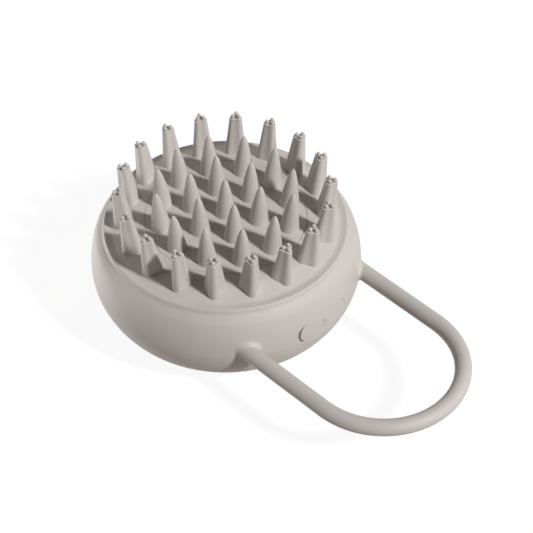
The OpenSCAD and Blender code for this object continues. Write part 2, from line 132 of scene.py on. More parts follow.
def makeLights():
    s = lightSettings
    keyDirection = towards(s["keyAzimuth"], s["keyElevation"])
    key = addLamp("keyLight", "SUN", s["keyStrength"], s["keyColor"], (0, 0, 0), keyDirection)
    key.data.angle = math.radians(s["keySoftness"])

    aim = Vector((0, 0, s["fillAim"]))
    for azimuth, elevation, size, power, color in s["fills"]:
        direction = towards(azimuth, elevation)
        fill = addLamp("fillLight", "AREA", power, color, direction * s["fillDistance"] + aim, direction)
        fill.data.size = size

    azimuth, distance, size, power = s["card"]
    place = towards(azimuth, 0) * distance + Vector((0, 0, s["cardHeight"]))
    card = addLamp("bounceCard", "AREA", power, (1, 1, 1), place, Vector((0, 0, -1)))
    card.rotation_mode = "XYZ"
    card.rotation_euler = (math.pi, 0, math.radians(azimuth))  # flat on the floor, shining up
    card.data.size = size
    card.visible_camera = False


def seenDirectly(tree):
    # 1 where the ray comes from the camera, a reflection or through glass
    path = tree.nodes.new("ShaderNodeLightPath")
    firstSum = tree.nodes.new("ShaderNodeMath")
    firstSum.operation = "MAXIMUM"
    tree.links.new(path.outputs["Is Camera Ray"], firstSum.inputs[0])
    tree.links.new(path.outputs["Is Glossy Ray"], firstSum.inputs[1])
    secondSum = tree.nodes.new("ShaderNodeMath")
    secondSum.operation = "MAXIMUM"
    tree.links.new(firstSum.outputs[0], secondSum.inputs[0])
    tree.links.new(path.outputs["Is Transmission Ray"], secondSum.inputs[1])
    return secondSum.outputs[0]


def makeWorld():
    world = bpy.data.worlds.new("studio")
    scene.world = world
    world.use_nodes = True
    tree = world.node_tree
    tree.nodes.clear()
    ambient = tree.nodes.new("ShaderNodeBackground")
    ambient.inputs["Color"].default_value = (*lightSettings["ambientColor"], 1)
    ambient.inputs["Strength"].default_value = lightSettings["ambient"]
    white = tree.nodes.new("ShaderNodeBackground")
    white.inputs["Color"].default_value = (1, 1, 1, 1)
    white.inputs["Strength"].default_value = 1
    mix = tree.nodes.new("ShaderNodeMixShader")
    out = tree.nodes.new("ShaderNodeOutputWorld")
    tree.links.new(seenDirectly(tree), mix.inputs[0])
    tree.links.new(ambient.outputs[0], mix.inputs[1])
    tree.links.new(white.outputs[0], mix.inputs[2])
    tree.links.new(mix.outputs[0], out.inputs[0])


def makeFloor():
    s = lightSettings
    bpy.ops.mesh.primitive_plane_add(size=s["floorSize"], location=(0, 0, 0))
    floor = bpy.context.object
    floor.name = "floor"
    material = bpy.data.materials.new("paleFloor")
    material.use_nodes = True
    tree = material.node_tree
    tree.nodes.clear()
    bounce = tree.nodes.new("ShaderNodeBsdfDiffuse")
    bounce.inputs["Color"].default_value = (*s["floorBounce"], 1)
    paper = tree.nodes.new("ShaderNodeBsdfDiffuse")
    paper.inputs["Color"].default_value = (*[s["floorPaper"]] * 3, 1)
    glow = tree.nodes.new("ShaderNodeEmission")
    glow.inputs["Strength"].default_value = s["floorGlow"]
    seen = tree.nodes.new("ShaderNodeMixShader")
    seen.inputs[0].default_value = s["floorShadow"]
    tree.links.new(glow.outputs[0], seen.inputs[1])
    tree.links.new(paper.outputs[0], seen.inputs[2])
    mix = tree.nodes.new("ShaderNodeMixShader")
    out = tree.nodes.new("ShaderNodeOutputMaterial")
    tree.links.new(seenDirectly(tree), mix.inputs[0])
    tree.links.new(bounce.outputs[0], mix.inputs[1])
    tree.links.new(seen.outputs[0], mix.inputs[2])
    tree.links.new(mix.outputs[0], out.inputs[0])
    floor.data.materials.append(material)


makeCamera()
makeLights()
makeWorld()
makeFloor()
scene.view_settings.view_transform = "Standard"
print("camera, lights and floor ready")


# ---- finishes

finishes = {}


def newFinish(name):
    material = bpy.data.materials.new(name)
    material.use_nodes = True
    tree = material.node_tree
    shader = tree.nodes["Principled BSDF"]
    place = tree.nodes.new("ShaderNodeTexCoord")
    finishes[name] = material
    return tree, shader, place.outputs["Object"]


def addNoise(tree, place, scale, detail=2.0):
    noise = tree.nodes.new("ShaderNodeTexNoise")
    noise.inputs["Scale"].default_value = scale
    noise.inputs["Detail"].default_value = detail
    tree.links.new(place, noise.inputs["Vector"])
    return noise.outputs["Fac"]


def addRamp(tree, fac, stops):
    ramp = tree.nodes.new("ShaderNodeValToRGB")
    while len(ramp.color_ramp.elements) < len(stops):
        ramp.color_ramp.elements.new(0.5)
    for element, (position, color) in zip(ramp.color_ramp.elements, stops):
        element.position = position
        element.color = (*color, 1)
    tree.links.new(fac, ramp.inputs[0])
    return ramp.outputs["Color"]


def addRange(tree, fac, low, high):
    spread = tree.nodes.new("ShaderNodeMapRange")
    spread.inputs["To Min"].default_value = low
    spread.inputs["To Max"].default_value = high
    tree.links.new(fac, spread.inputs["Value"])
    return spread.outputs["Result"]


def addBump(tree, shader, height, strength, distance):
    bump = tree.nodes.new("ShaderNodeBump")
    bump.inputs["Strength"].default_value = strength
    bump.inputs["Distance"].default_value = distance
    tree.links.new(height, bump.inputs["Height"])
    tree.links.new(bump.outputs["Normal"], shader.inputs["Normal"])


siliconeSettings = {
    "color": (0.530, 0.488, 0.456),
    "drift": 0.012,  # how far the tone wanders over the surface
    "roughness": (0.50, 0.58),
    "diffuseRoughness": 0.0,
    "ior": 1.41,
    "cloudSize": 45,
    "speckleSize": 900,
    "grainSize": 3500,
    "grainDepth": 0.00002,
    "bump": 0.25,
}
plasticSettings = {
    "shade": 0.94,  # how much darker the darker patches are
    "cloudSize": 120,
    "wearSize": 400,
    "wear": 0.06,  # how far the roughness wanders
    "grainSize": 2500,
    "grainDepth": 0.00003,
    "bump": 0.3,
}
metalSettings = {
    "shade": 0.85,
    "lineSize": 1500,
    "wear": 0.08,
    "lineDepth": 0.00002,
    "bump": 0.15,
    "brushedUpright": (1.0, 1.0, 12.0),
    "brushedAcross": (12.0, 1.0, 1.0),
}
boardSettings = {
    "trackSize": 260,
    "trackGap": 0.05,
    "lacquer": ((0.02, 0.16, 0.07), (0.025, 0.19, 0.08)),
    "gapColor": (0.05, 0.30, 0.14),
    "speckleSize": 700,
    "roughness": (0.28, 0.42),
    "trackDepth": 0.00003,
    "bump": 0.2,
}
windingSettings = {
    "turnSize": 1400,
    "waviness": 1.5,
    "copper": ((0.32, 0.11, 0.04), (0.75, 0.32, 0.14)),
    "roughness": (0.3, 0.45),
    "turnDepth": 0.00008,
    "bump": 0.5,
}


def makeSilicone():
    s = siliconeSettings
    tree, shader, place = newFinish("silicone")
    dark = tuple(c * (1 - s["drift"]) for c in s["color"])
    pale = tuple(c * (1 + s["drift"]) for c in s["color"])
    cloud = addNoise(tree, place, s["cloudSize"], 3)
    tree.links.new(addRamp(tree, cloud, [(0.3, dark), (0.7, pale)]), shader.inputs["Base Color"])
    speckle = addNoise(tree, place, s["speckleSize"])
    tree.links.new(addRange(tree, speckle, *s["roughness"]), shader.inputs["Roughness"])
    shader.inputs["Diffuse Roughness"].default_value = s["diffuseRoughness"]
    shader.inputs["IOR"].default_value = s["ior"]
    addBump(tree, shader, addNoise(tree, place, s["grainSize"]), s["bump"], s["grainDepth"])


def makePlastic(name, color, roughness):
    s = plasticSettings
    tree, shader, place = newFinish(name)
    dark = tuple(c * s["shade"] for c in color)
    cloud = addNoise(tree, place, s["cloudSize"], 3)
    tree.links.new(addRamp(tree, cloud, [(0.35, dark), (0.65, color)]), shader.inputs["Base Color"])
    wear = addNoise(tree, place, s["wearSize"])
    spread = addRange(tree, wear, roughness - s["wear"], roughness + s["wear"])
    tree.links.new(spread, shader.inputs["Roughness"])
    addBump(tree, shader, addNoise(tree, place, s["grainSize"]), s["bump"], s["grainDepth"])


def makeMetal(name, color, roughness, brush=metalSettings["brushedUpright"]):
    s = metalSettings
    tree, shader, place = newFinish(name)
    stretch = tree.nodes.new("ShaderNodeMapping")
    stretch.inputs["Scale"].default_value = brush
    tree.links.new(place, stretch.inputs["Vector"])
    lines = addNoise(tree, stretch.outputs["Vector"], s["lineSize"], 3)
    dark = tuple(c * s["shade"] for c in color)
    tree.links.new(addRamp(tree, lines, [(0.3, dark), (0.7, color)]), shader.inputs["Base Color"])
    spread = addRange(tree, lines, roughness - s["wear"], roughness + s["wear"])
    tree.links.new(spread, shader.inputs["Roughness"])
    shader.inputs["Metallic"].default_value = 1.0
    addBump(tree, shader, lines, s["bump"], s["lineDepth"])


def makeBoard():
    s = boardSettings
    tree, shader, place = newFinish("board")
    tracks = tree.nodes.new("ShaderNodeTexBrick")
    tracks.inputs["Scale"].default_value = s["trackSize"]
    tracks.inputs["Mortar Size"].default_value = s["trackGap"]
    tracks.inputs["Color1"].default_value = (*s["lacquer"][0], 1)
    tracks.inputs["Color2"].default_value = (*s["lacquer"][1], 1)
    tracks.inputs["Mortar"].default_value = (*s["gapColor"], 1)
    tree.links.new(place, tracks.inputs["Vector"])
    tree.links.new(tracks.outputs["Color"], shader.inputs["Base Color"])
    speckle = addNoise(tree, place, s["speckleSize"])
    tree.links.new(addRange(tree, speckle, *s["roughness"]), shader.inputs["Roughness"])
    addBump(tree, shader, tracks.outputs["Fac"], s["bump"], s["trackDepth"])


def makeWinding():
    s = windingSettings
    tree, shader, place = newFinish("winding")
    turns = tree.nodes.new("ShaderNodeTexWave")
    turns.bands_direction = "Z"
    turns.inputs["Scale"].default_value = s["turnSize"]
    turns.inputs["Distortion"].default_value = s["waviness"]
    tree.links.new(place, turns.inputs["Vector"])
    dark, pale = s["copper"]
    copper = addRamp(tree, turns.outputs["Fac"], [(0.2, dark), (0.8, pale)])
    tree.links.new(copper, shader.inputs["Base Color"])
    shader.inputs["Metallic"].default_value = 1.0
    tree.links.new(addRange(tree, turns.outputs["Fac"], *s["roughness"]), shader.inputs["Roughness"])
    addBump(tree, shader, turns.outputs["Fac"], s["bump"], s["turnDepth"])


makeSilicone()
makePlastic("housing", (0.34, 0.32, 0.30), 0.5)
makePlastic("base", (0.30, 0.275, 0.255), 0.55)
makePlastic("seal", (0.015, 0.015, 0.017), 0.6)
makePlastic("tongue", (0.012, 0.012, 0.014), 0.4)
makePlastic("wire_black", (0.012, 0.012, 0.014), 0.45)
makePlastic("wire_red", (0.45, 0.02, 0.015), 0.45)
makePlastic("cell", (0.05, 0.13, 0.26), 0.35)
makePlastic("plunger", (0.68, 0.67, 0.62), 0.45)
makePlastic("led", (0.80, 0.88, 0.78), 0.2)
makePlastic("light_pipe", (0.85, 0.85, 0.84), 0.25)
makePlastic("magnet", (0.07, 0.07, 0.08), 0.6)
makeMetal("screw", (0.55, 0.56, 0.58), 0.32)
makeMetal("socket", (0.66, 0.67, 0.69), 0.28, metalSettings["brushedAcross"])
makeMetal("motor_steel", (0.58, 0.59, 0.61), 0.34)
makeMetal("bush", (0.62, 0.45, 0.16), 0.35)
makeMetal("weight", (0.38, 0.38, 0.40), 0.42)
makeBoard()
makeWinding()

slotOf = {part["node"]: part["material_slot"] for part in frame["record"]["subparts"]}
for nodeName, nodeObject in cadNodes.items():
    for holder in nodeObject.material_slots:
        holder.material = finishes[slotOf[nodeName]]
print("finishes ready:", len(finishes))


# ---- mesh helpers

def newObject(name, parts):
    verts, faces, start = [], [], 0
    for partVerts, partFaces in parts:
        verts.append(np.asarray(partVerts, float))
        faces += [tuple(i + start for i in face) for face in partFaces]
        start += len(partVerts)
    mesh = bpy.data.meshes.new(name)
    mesh.from_pydata((np.concatenate(verts) * mm).tolist(), [], faces)
    work = bmesh.new()
    work.from_mesh(mesh)
    bmesh.ops.recalc_face_normals(work, faces=work.faces)
    work.to_mesh(mesh)
    work.free()
    piece = bpy.data.objects.new(name, mesh)
    scene.collection.objects.link(piece)
    return piece


def buildPiece(name, parts, slotName, body, replaced, sharpAngle=38):
    piece = newObject(name, parts)
    mesh = piece.data
    mesh.polygons.foreach_set("use_smooth", [True] * len(mesh.polygons))
    mesh.set_sharp_from_angle(angle=math.radians(sharpAngle))
    mesh.materials.append(finishes[slotName])
    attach(piece, body)
    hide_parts(*replaced)
    return piece


def roundedPath(corners, steps=6):
    # (radius, height, rounding) corners of a closed outline become a line with arcs at its corners
    points = []
    for k, (r, z, rounding) in enumerate(corners):
        here = np.array([r, z], float)
        if rounding <= 0:
            points.append(here)
            continue
        before = np.array(corners[k - 1][:2], float) - here
        after = np.array(corners[(k + 1) % len(corners)][:2], float) - here
        before /= np.linalg.norm(before)
        after /= np.linalg.norm(after)
        half = math.acos(np.clip(before @ after, -1, 1)) / 2
        reach = rounding / math.tan(half)
        centre = here + (before + after) / np.linalg.norm(before + after) * rounding / math.sin(half)
        start, end = here + before * reach - centre, here + after * reach - centre
        sweep = math.pi - 2 * half
        for t in np.linspace(0, 1, steps + 1):
            spoke = start * math.sin((1 - t) * sweep) + end * math.sin(t * sweep)
            points.append(centre + spoke / math.sin(sweep))
    return points


def smoothLine(points, perStep=6):
    # a line through the points with no corners
    p = np.array(points, float)
    p = np.vstack([2 * p[0] - p[1], p, 2 * p[-1] - p[-2]])
    line = []
    for k in range(1, len(p) - 2):
        for t in np.linspace(0, 1, perStep, endpoint=False):
            line.append(0.5 * (2 * p[k] + (p[k + 1] - p[k - 1]) * t
                               + (2 * p[k - 1] - 5 * p[k] + 4 * p[k + 1] - p[k + 2]) * t * t
                               + (3 * p[k] - p[k - 1] - 3 * p[k + 1] + p[k + 2]) * t ** 3))
    line.append(p[-2])
    return line


def revolve(profile, columns=240):
    # a closed outline of (radius, height) points turned about the upright axis
    verts, faces, ringOf = [], [], []
    angles = np.arange(columns) * 2 * math.pi / columns
    for r, z in profile:
        if r < 1e-6:
            ringOf.append([len(verts)] * columns)
            verts.append((0, 0, z))
        else:
            ringOf.append(list(range(len(verts), len(verts) + columns)))
            verts += [(r * math.cos(a), r * math.sin(a), z) for a in angles]
    for k in range(len(profile)):
        lower, upper = ringOf[k], ringOf[(k + 1) % len(profile)]
        if lower[0] == lower[1] and upper[0] == upper[1]:
            continue
        for j in range(columns):
            n = (j + 1) % columns
            face = [lower[j], lower[n], upper[n], upper[j]]
            faces.append(tuple(dict.fromkeys(face)))
    return verts, faces


def loft(rings):
    # rings of equal point count joined one to the next; both ends get a fan
    rings = np.asarray(rings, float)
    count, around = rings.shape[:2]
    verts = rings.reshape(-1, 3).tolist()
    faces = []
    for k in range(count - 1):
        for j in range(around):
            n = (j + 1) % around
            faces.append((k * around + j, k * around + n, (k + 1) * around + n, (k + 1) * around + j))
    for ring, flip in ((0, True), (count - 1, False)):
        centre = len(verts)
        verts.append(rings[ring].mean(0).tolist())
        for j in range(around):
            n = (j + 1) % around
            a, b = ring * around + j, ring * around + n
            faces.append((centre, b, a) if flip else (centre, a, b))
    return verts, faces


def placed(part, turn, shift):
    verts, faces = part
    return np.asarray(verts) @ np.asarray(turn, float).T + np.asarray(shift, float), faces


# ---- the body's outline, as the frame has it

bodySettings = {
    "radius": 45.0,
    "waist": 21.0,
    "seam": 35.6,
    "seamIn": 3.7,
    "tuckIn": 18.6,
    "upperPower": 2.3,
    "lowerPower": 1.835,
    "seamEase": 0.55,  # how far the sleeve draws in towards the seam
    "seamEaseFrom": 32.3,
    "domeTop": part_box("centre_pad")[1].z / mm,
    "domeRadius": 310.0,
    "shoulderStart": 30.0,  # where the face starts to roll off toward its rim
    "shoulderBend": 12.0,
    "shoulderWidth": 3.2,  # beyond this much of the roll-off the face falls straight
    "fanRadius": 250.0,  # how far below the face the prongs' axes would meet
}


def bodyOutline(z):
    s = bodySettings
    widest = s["radius"]
    seamRadius, tuckRadius = widest - s["seamIn"], widest - s["tuckIn"]
    z = np.asarray(z, float)
    above = np.clip((z - s["waist"]) / (s["seam"] - s["waist"]), 0, 2)
    below = np.clip((s["waist"] - z) / s["waist"], 0, 1)
    upper = seamRadius + (widest - seamRadius) * (1 - above ** s["upperPower"])
    ease = np.clip((z - s["seamEaseFrom"]) / (s["seam"] - s["seamEaseFrom"]), 0, 1)
    upper = upper - s["seamEase"] * ease * ease * (3 - 2 * ease)
    lower = tuckRadius + (widest - tuckRadius) * (1 - below ** s["lowerPower"]) ** (1 / s["lowerPower"])
    return np.where(z > s["waist"], upper, lower)


def dome(r):
    s = bodySettings
    r = np.asarray(r, float)
    beyond = np.maximum(r - s["shoulderStart"], 0)
    bent = np.minimum(beyond, s["shoulderWidth"])
    rollOff = s["shoulderBend"] - np.sqrt(s["shoulderBend"] ** 2 - bent ** 2)
    rollOff = rollOff + (beyond - bent) * math.tan(math.asin(s["shoulderWidth"] / s["shoulderBend"]))
    return s["domeTop"] - s["domeRadius"] + np.sqrt(s["domeRadius"] ** 2 - r ** 2) - rollOff


# ---- silicone sleeve, with the shoulders of the loop and the recess of the flap

sleeveSettings = {
    "thickness": 1.6,
    "columns": 360,
    "rowsFrom": 8.75,
    "rowsEnd": 0.58,  # how far below the seam the outer rows end
    "innerFrom": 8.8,
    "innerTo": 34.0,
    "lowEdge": [(38.0, 7.72), (39.6, 7.72), (40.12, 7.86), (40.47, 8.22)],
    "highEdge": [(41.0, 35.06), (40.9, 35.0)],
    "flange": [(40.88, 34.72), (39.3, 34.72), (39.3, 34.1)],
    "innerEnd": (37.4, 8.3),
    "windowLow": 16.2,  # the rows between which shoulders and recess are cut
    "windowHigh": 29.4,
    "windowRows": 34,
    "legWindow": (25, 47),  # degrees
    "flapWindow": (-18, 20),
    "shoulder": (0.65, 2.1),  # least and most rounding where a leg leaves the body
    "shoulderTurn": 50,  # the most is on the inside, this many degrees up
    "blend": (0.25, 0.5, 0.75, 0.92),  # steps from a window's edge to what is cut in it
    "wallBlend": (0, 0.3, 0.65),
    "ledgeDepth": 0.95,  # the recess has a ledge that the flap lies on
    "ledgeWidth": 1.35,
    "recessEdge": 0.12,
    "recessMargin": 0.15,
}
loopSettings = {
    "bar": 2.75,
    "halfWidth": 26.1,
    "reach": 70.5,
    "height": 22.7,
    "clear": 0.015,  # air between the bar and its shoulder
    "head": [(0, 0.6), (0.2, 0.8), (1.3, 0.8), (1.5, 0.6), (1.5, 0)],  # way along, extra radius
    "straightFrom": 30,
}
flapSettings = {
    "middle": 0.6,
    "height": 22.4,
    "recessHalf": 11.0,
    "recessRadius": 3.94,
    "start": -9.25,
    "end": 11.5,
    "radius": 3.87,
    "thickness": 0.9,
    "edge": 0.12,
    "strokes": [((0.9, 24.5), (0.2, 23.1)), ((1.8, 22.8), (-0.3, 20.7))],  # (y, z) ends
    "strokeWidth": 0.36,
    "strokeDepth": 0.28,
    "plug": (3.6, 0.85),  # half length and radius of the tongue that fills the socket's mouth
}


def stadiumPoint(angles, halfLength, radius):
    # where rays from the middle meet an outline with round ends
    straight = halfLength - radius
    c, s = np.cos(angles), np.sin(angles)
    flat = np.abs(c) * radius <= np.abs(s) * straight
    reachFlat = radius / np.maximum(np.abs(s), 1e-9)
    reachRound = straight * np.abs(c) + np.sqrt(np.maximum(radius ** 2 - (straight * s) ** 2, 0))
    reach = np.where(flat, reachFlat, reachRound)
    return np.stack([reach * c, reach * s], -1)


def sleeveSurface(y, z, inward=0.0):
    # the x of the body's surface in front of a point of the YZ plane
    return np.sqrt(np.maximum((bodyOutline(z) - inward) ** 2 - y ** 2, 0))


def sleeveProfile():
    # the sleeve's closed outline, and where its outer and inner rows start in it
    s = sleeveSettings
    rows = np.concatenate([
        np.linspace(s["rowsFrom"], s["windowLow"], 14)[:-1],
        np.linspace(s["windowLow"], s["windowHigh"], s["windowRows"] + 1),
        np.linspace(s["windowHigh"], bodySettings["seam"] - s["rowsEnd"], 12)[1:],
    ])
    outer = np.stack([bodyOutline(rows), rows], -1)
    innerRows = rows[(rows <= s["innerTo"]) & (rows >= s["innerFrom"])]
    inner = np.stack([bodyOutline(innerRows) - s["thickness"], innerRows], -1)[::-1]
    profile = np.concatenate([s["lowEdge"], outer, s["highEdge"], s["flange"], inner, [s["innerEnd"]]])
    outerStart = len(s["lowEdge"])
    innerStart = outerStart + len(outer) + len(s["highEdge"]) + len(s["flange"])
    low, high = [outerStart + int(np.argmin(abs(rows - s[k]))) for k in ("windowLow", "windowHigh")]
    innerLow, innerHigh = [innerStart + int(np.argmin(abs(inner[:, 1] - s[k])))
                           for k in ("windowLow", "windowHigh")]
    return profile, (low, high), (innerLow, innerHigh)


def sleeveWindow(verts, outerLoop, innerLoop, side):
    # fills one window of the sleeve: a leg's shoulder, or the flap's recess where side is 0
    s = sleeveSettings
    edge = np.array([verts[i] for i in outerLoop])[:, 1:]
    rings, drops = legRings(edge, side) if side else recessRings(edge)
    innerEdge = np.array([verts[i] for i in innerLoop])[:, 1:]
    sheets = [(ring, sleeveSurface(ring[:, 0], ring[:, 1]) + drop) for ring, drop in zip(rings, drops)]
    for share in s["wallBlend"]:
        ring = rings[-1] * (1 - share) + innerEdge * share
        sheets.append((ring, sleeveSurface(ring[:, 0], ring[:, 1], s["thickness"])))
    loops = [outerLoop]
    for ring, x in sheets:
        loops.append(list(range(len(verts), len(verts) + len(ring))))
        verts += np.column_stack([x, ring]).tolist()
    loops.append(innerLoop)
    return [(a[j], a[(j + 1) % len(a)], c[(j + 1) % len(a)], c[j])
            for a, c in zip(loops[:-1], loops[1:]) for j in range(len(a))]


def makeSleeve():
    s = sleeveSettings
    profile, (low, high), (innerLow, innerHigh) = sleeveProfile()
    columns, count = s["columns"], len(profile)
    angles = np.radians(np.arange(columns) * 360 / columns)
    grid = np.stack([profile[:, :1] * np.cos(angles), profile[:, :1] * np.sin(angles),
                     np.repeat(profile[:, 1:], columns, 1)], -1)
    verts = grid.reshape(-1, 3).tolist()

    def index(row, column):
        return (row % count) * columns + column % columns

    legFirst, legLast = s["legWindow"]
    windows = [((legFirst, legLast), 1), ((-legLast, -legFirst), -1), (s["flapWindow"], 0)]
    cut = set()
    for (first, last), _ in windows:
        for column in range(first, last):
            cut.update((row, column % columns) for row in range(low, high))
            cut.update((row, column % columns) for row in range(innerHigh, innerLow))
    faces = [(index(k, j), index(k, j + 1), index(k + 1, j + 1), index(k + 1, j))
             for k in range(count) for j in range(columns) if (k, j) not in cut]
    for (first, last), side in windows:
        outerLoop = edgeLoop(index, low, high, first, last)
        innerLoop = edgeLoop(index, innerLow, innerHigh, first, last)
        faces += sleeveWindow(verts, outerLoop, innerLoop, side)
    return buildPiece("siliconeSleeve", [(verts, faces)], "silicone", "body", ["outer_sleeve"])


def edgeLoop(index, low, high, first, last):
    # the vertices round a window, starting at its low left corner
    step = 1 if high > low else -1
    loop = [index(low, j) for j in range(first, last)]
    loop += [index(k, last) for k in range(low, high, step)]
    loop += [index(high, j) for j in range(last, first, -1)]
    loop += [index(k, first) for k in range(high, low, -step)]
    return loop


def legRings(edge, side):
    s, l = sleeveSettings, loopSettings
    centre = np.array([side * l["halfWidth"], l["height"]])
    angle = np.arctan2(edge[:, 1] - centre[1], edge[:, 0] - centre[0])
    ray = np.stack([np.cos(angle), np.sin(angle)], -1)
    bar = l["bar"] + l["clear"]
    inside = np.arctan2(ray[:, 1], -side * ray[:, 0]) - math.radians(s["shoulderTurn"])
    least, most = s["shoulder"]
    f = (least + (most - least) * (0.5 + 0.5 * np.cos(inside)))[:, None]
    rings, drops = [], []
    for share in s["blend"]:
        rings.append(edge * (1 - share) + (centre + ray * (bar + f)) * share)
        drops.append(0.0)
    for u in np.linspace(0, math.pi / 2, 13):
        rings.append(centre + ray * (bar + f * (1 - math.sin(u))))
        drops.append(f[:, 0] * (1 - math.cos(u)))
    return rings, drops


def recessRings(edge):
    s, p = sleeveSettings, flapSettings
    centre = np.array([p["middle"], p["height"]])
    angle = np.arctan2(edge[:, 1] - centre[1], edge[:, 0] - centre[0])
    e = s["recessEdge"]

    def outlineAt(grow):
        return centre + stadiumPoint(angle, p["recessHalf"] + grow, p["recessRadius"] + grow)

    rings, drops = [], []
    for share in (*s["blend"], 1):
        rings.append(edge * (1 - share) + outlineAt(e + s["recessMargin"]) * share)
        drops.append(0.0)
    for u in np.linspace(0, math.pi / 2, 7):
        rings.append(outlineAt(e * (1 - math.sin(u))))
        drops.append(-e * (1 - math.cos(u)))
    ledge, width = s["ledgeDepth"], s["ledgeWidth"]
    for inward, depth in ((0, ledge - 0.25), (0.07, ledge - 0.07), (0.25, ledge), (width, ledge)):
        rings.append(outlineAt(-inward))
        drops.append(-depth)
    return rings, drops


makeSleeve()
print("sleeve made")


# ---- hanging loop

def loopPath():
    # place, direction and radius of each section, from one hidden head round to the other
    s = loopSettings
    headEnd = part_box("hanging_loop")[0].x / mm
    leg = [(headEnd + along, s["bar"] + extra) for along, extra in s["head"]]
    leg += [(x, s["bar"]) for x in np.linspace(s["straightFrom"], s["reach"], 24)[:-1]]
    path = [((x, -s["halfWidth"]), (1, 0), radius) for x, radius in leg]
    for a in np.linspace(-math.pi / 2, math.pi / 2, 73):
        place = (s["reach"] + s["halfWidth"] * math.cos(a), s["halfWidth"] * math.sin(a))
        path.append((place, (-math.sin(a), math.cos(a)), s["bar"]))
    path += [((x, s["halfWidth"]), (-1, 0), radius) for x, radius in reversed(leg)]
    return path


def makeLoop():
    s = loopSettings
    around = np.arange(64) * 2 * math.pi / 64
    rings = []
    for (x, y), (tx, ty), radius in loopPath():
        sideways = radius * np.cos(around)
        rings.append(np.stack([x + ty * sideways, y - tx * sideways,
                               s["height"] + radius * np.sin(around)], -1))
    return buildPiece("hangingLoop", [loft(rings)], "silicone", "body", ["hanging_loop"])


makeLoop()
print("loop made")


# ---- prong pads

padSettings = {
    "thickness": 2.4,
    "seamRadius": 26.6,
    "seamGap": 0.08,
    "seamEdge": 0.14,
    "floorEnd": 37.25,
    "rim": [(37.7, 37.205), (38.15, 37.15), (38.65, 37.13), (39.1, 37.13), (39.4, 37.14)],
    "crest": [(39.68, 37.155), (39.88, 37.135), (40.05, 37.06), (40.20, 36.92), (40.34, 36.66),
              (40.45, 36.34), (40.55, 36.02), (40.63, 35.80), (40.73, 35.58)],
    "lip": (35.36, 35.2, 35.05),  # heights at which the lip lies on the sleeve as it runs out
    "lipOver": 0.012,
    "skirt": [(40.95, 35.12), (40.8, 35.1), (40.8, 34.8), (39.2, 34.8), (39.2, 31.55), (37.4, 31.55),
              (37.4, 34.85)],
    "underEnd": 36.8,
}


def makeOuterPad():
    s = padSettings
    start = s["seamRadius"] + s["seamGap"]
    e = s["seamEdge"]
    edge = [(start, float(dome(start)) - s["thickness"]), (start, float(dome(start)) - e)]
    edge += [(start + e * (1 - math.cos(u)), float(dome(start)) - e * (1 - math.sin(u)))
             for u in np.linspace(0.25, math.pi / 2, 5)]
    floor = [(r, float(dome(r))) for r in np.linspace(start + 0.5, s["floorEnd"], 22)]
    lip = [(float(bodyOutline(z)) + s["lipOver"], z) for z in s["lip"]]
    top = smoothLine(floor[-2:] + s["rim"] + s["crest"] + lip, 5)
    under = [(r, float(dome(r)) - s["thickness"]) for r in np.linspace(s["underEnd"], start + 1, 8)]
    profile = edge + floor[:-2] + [tuple(p) for p in top] + s["skirt"] + under
    return buildPiece("outerPad", [revolve(profile, 360)], "silicone", "body", ["outer_pad"])


def makeCentrePad():
    s = padSettings
    end = s["seamRadius"]
    e = s["seamEdge"]
    top = [(r, float(dome(r))) for r in np.linspace(0, end - e - 0.4, 16)]
    edge = [(end - e * (1 - math.sin(u)), float(dome(end)) - e * (1 - math.cos(u)))
            for u in np.linspace(0, math.pi / 2, 6)]
    under = [(r, float(dome(r)) - s["thickness"]) for r in np.linspace(end, 0, 10)]
    return buildPiece("centrePad", [revolve(top + edge + under, 240)], "silicone", "body", ["centre_pad"])


makeOuterPad()
makeCentrePad()
print("pads made")


# ---- prongs

combSettings = {
    "count": 18,
    "ring": 32.7,
    "length": 15.3,
    "shaft": 13.95,
    "root": 1.6,  # how far it reaches down where the face rolls off
    "baseCorner": (2.0, 1.85),  # how far out a corner's centre lies, and its rounding
    "tipCorner": (1.1, 1.1),
    "flute": 0.16,  # how hollow the sides are
    "collar": [(0.50, 0.0), (0.36, 0.045), (0.22, 0.06), (0.10, 0.03), (0.02, -0.06), (0.0, -0.18),
               (0.03, -0.32), (0.08, -0.5)],  # depth below the shaft's end, and how far it stands out
    "ball": 0.66,
    "ballOut": 1.16,
    "columns": 72,
}
bulletSettings = {
    "rings": ((0.0, 1, 0.0), (11.25, 6, 30.0), (21.6, 12, 0.0)),  # radius, count, first angle
    "length": 15.0,
    "base": 3.3,
    "power": 0.53,  # how full the sides are
    "root": 0.5,
    "columns": 48,
}


def combSection(t, grow, around):
    # a triangle with round corners and slightly hollow sides, at a share t of the shaft's height
    s = combSettings
    out = s["baseCorner"][0] * (1 - t) + s["tipCorner"][0] * t
    rounding = s["baseCorner"][1] * (1 - t) + s["tipCorner"][1] * t + grow
    off = (around + math.pi / 3) % (2 * math.pi / 3) - math.pi / 3
    turn = math.atan2(rounding * math.sin(math.pi / 3), out + rounding / 2)
    corner = out * np.cos(off) + np.sqrt(np.maximum(rounding ** 2 - (out * np.sin(off)) ** 2, 0))
    side = (out / 2 + rounding) / np.cos(math.pi / 3 - np.abs(off))
    radius = np.where(np.abs(off) < turn, corner, side)
    hollow = np.clip((np.abs(off) - turn * 0.6) / (math.pi / 3 - turn * 0.6), 0, 1)
    return radius - s["flute"] * (1 - 0.3 * t) * np.sin(hollow * math.pi / 2) ** 2


